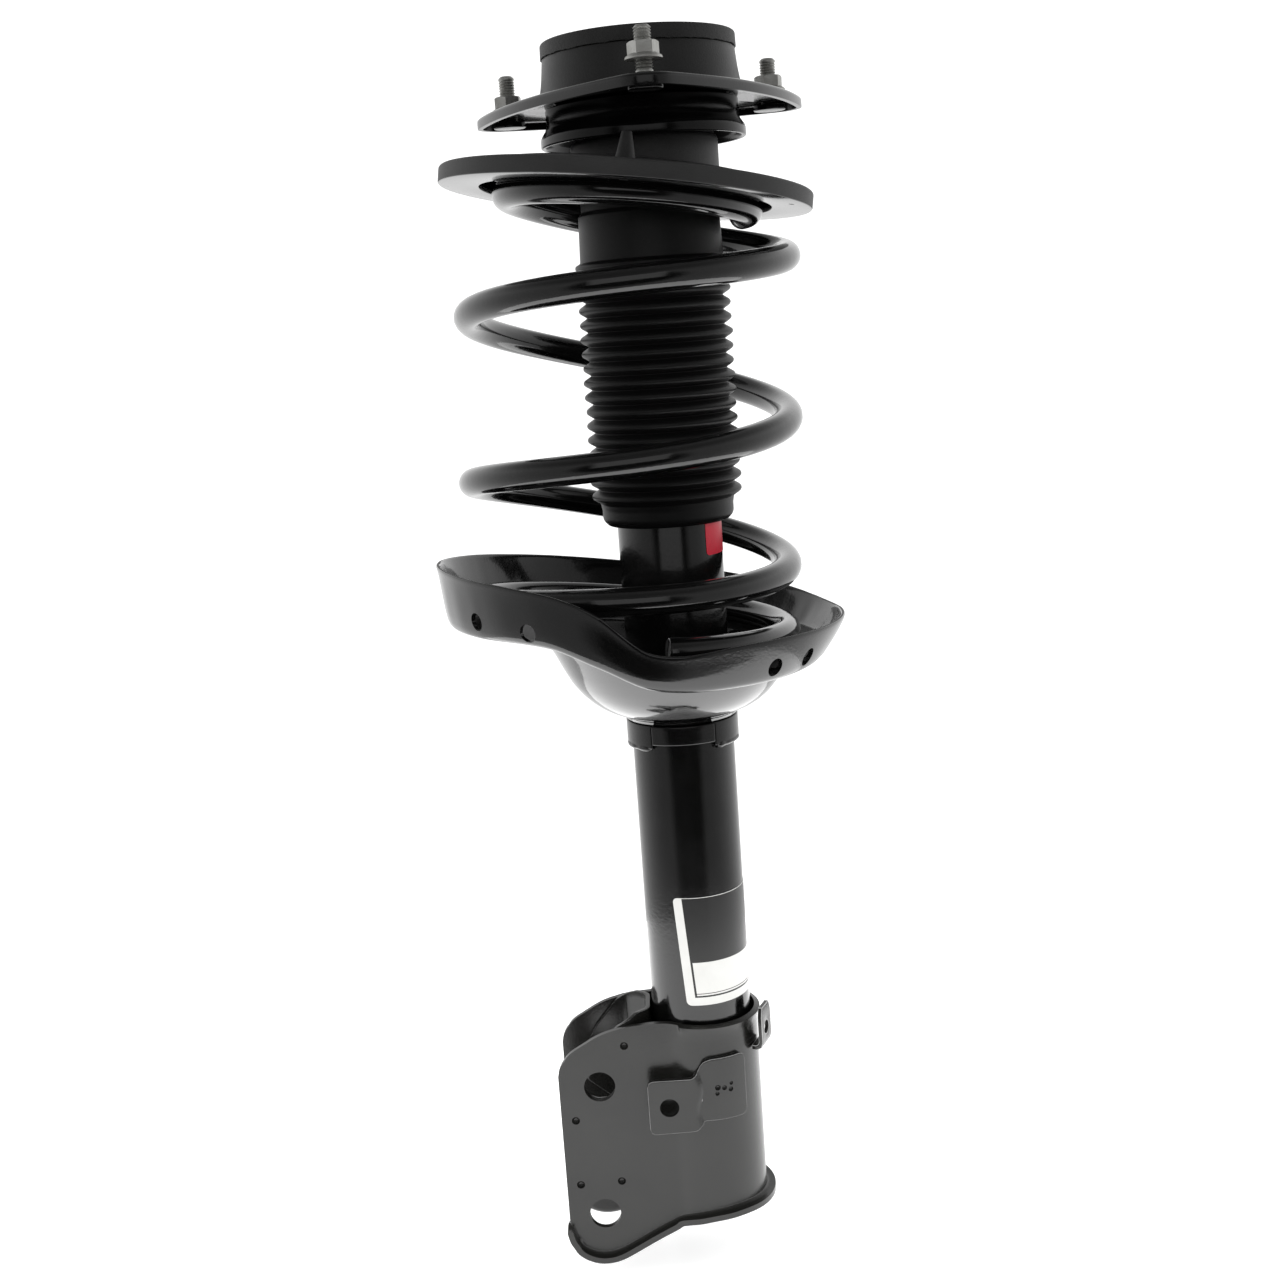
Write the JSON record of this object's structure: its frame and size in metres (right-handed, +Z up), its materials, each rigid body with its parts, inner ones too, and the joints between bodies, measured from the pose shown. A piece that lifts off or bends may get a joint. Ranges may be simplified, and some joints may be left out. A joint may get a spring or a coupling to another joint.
{
  "type": "suspension strut assembly",
  "caption": "Complete suspension strut: rubber top mount with studs, coil spring over a telescopic damper, and a stamped knuckle bracket with two bolt holes.",
  "frame": {"origin": "centre of the top mount plate's upper face, where the damper axis crosses it and the three studs stand round it", "axes": "+Z up along the damper axis, the way the studs point; the knuckle bracket's ears point to -X"},
  "size_m": [0.2, 0.2, 0.6086],
  "materials": {
    "gloss_black_steel": "gloss",
    "satin_black_steel": "satin",
    "spring_paint": "gloss",
    "black_rubber": "matte",
    "boot_rubber": "matte",
    "zinc_steel": "satin",
    "bright_steel": "polished",
    "rod_chrome": "polished",
    "sintered_metal": "matte",
    "stop_foam": "matte",
    "band_polymer": "matte",
    "label_film": "gloss",
    "sticker_film": "gloss"
  },
  "bodies": {
    "top_mount": {"mount_plate": "gloss_black_steel", "mount_housing": "black_rubber", "mount_rubber_band": "black_rubber", "mount_rubber": "black_rubber", "mount_inner_shell": "bright_steel", "mount_studs": "zinc_steel", "stud_nuts": "zinc_steel", "bearing_cup": "satin_black_steel", "bearing_upper_race": "bright_steel", "bearing_balls": "bright_steel"},
    "rod_and_upper_seat": {"bearing_lower_race": "bright_steel", "rod_sleeve": "bright_steel", "rod_washer": "zinc_steel", "rod_nut": "zinc_steel", "upper_spring_seat": "satin_black_steel", "upper_seat_plug": "black_rubber", "upper_isolator": "black_rubber", "coil_spring": "spring_paint", "dust_boot": "boot_rubber", "bump_stop": "stop_foam", "piston_rod": "rod_chrome", "rebound_stop": "band_polymer", "piston": "sintered_metal", "piston_band": "band_polymer", "piston_nut": "zinc_steel"},
    "strut_body": {"outer_tube": "gloss_black_steel", "tube_cap": "gloss_black_steel", "rod_seal": "black_rubber", "rod_guide": "sintered_metal", "inner_cylinder": "bright_steel", "base_valve": "sintered_metal", "bottom_cap": "gloss_black_steel", "lower_spring_seat": "gloss_black_steel", "seat_support_ring": "satin_black_steel", "knuckle_bracket": "satin_black_steel", "bracket_web": "satin_black_steel", "hose_bracket": "satin_black_steel", "sensor_bracket": "satin_black_steel", "tube_label": "label_film", "tube_sticker": "sticker_film"}
  },
  "joints": [
    {"name": "steering_bearing", "type": "hinge", "parent": "top_mount", "child": "rod_and_upper_seat", "pos_m": [0, 0, 0], "axis": [0, 0, 1], "range_deg": [-40, 40]},
    {"name": "damper_travel", "type": "slide", "parent": "rod_and_upper_seat", "child": "strut_body", "axis": [0, 0, 1], "range_m": [0, 0.085], "stiffness_N_per_m": 28000, "springref_m": -0.03, "deforming": ["coil_spring"]}
  ]
}
